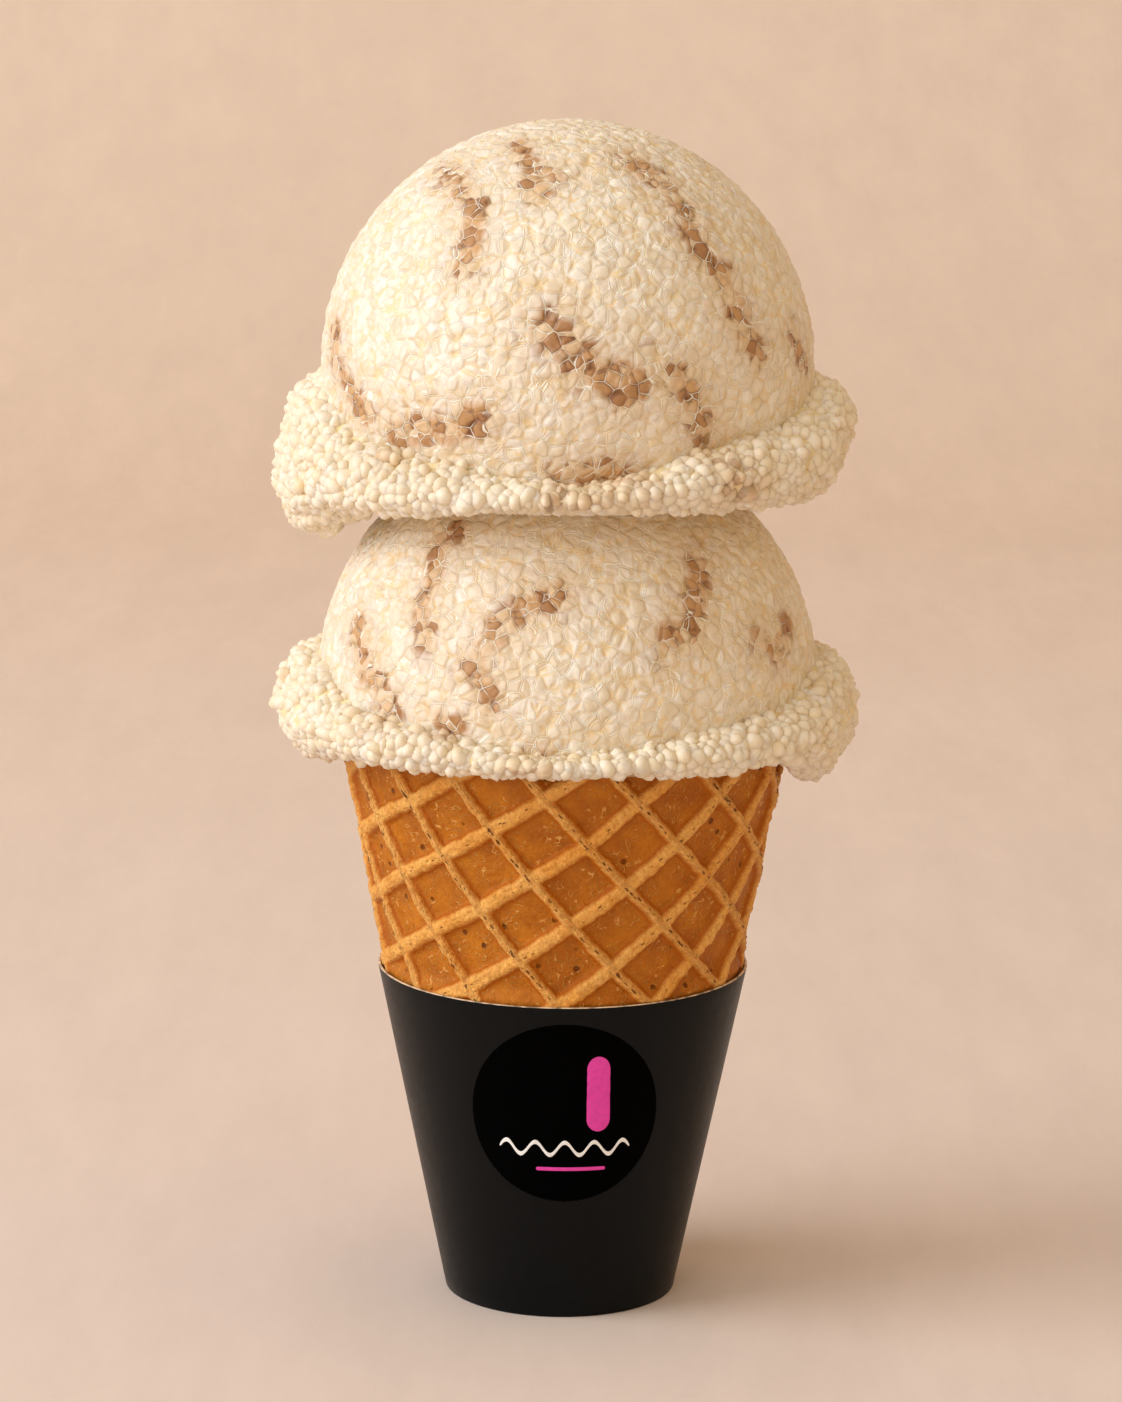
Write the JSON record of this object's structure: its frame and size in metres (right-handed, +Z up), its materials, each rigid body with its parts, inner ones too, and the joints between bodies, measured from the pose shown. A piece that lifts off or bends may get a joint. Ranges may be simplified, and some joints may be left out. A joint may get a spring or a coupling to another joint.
{
  "type": "double scoop ice cream cone",
  "caption": "Double scoop of pale ice cream with ragged skirts on a flat-bottomed waffle cone that stands in a short card sleeve.",
  "frame": {"origin": "centre of the flat underside of the card sleeve", "axes": "+Z up along the cone's axis, -Y towards the front, +X to the right as seen from the front"},
  "size_m": [0.077, 0.0738, 0.1551],
  "materials": {
    "card": "satin black card",
    "wafer": "crisp baked waffle, golden brown",
    "ice_cream": "pale cream ice cream with tan streaks, beaded surface"
  },
  "bodies": {
    "root": {"sleeve": "card", "cone": "wafer", "scoop_lower": "ice_cream", "scoop_upper": "ice_cream"}
  },
  "joints": []
}
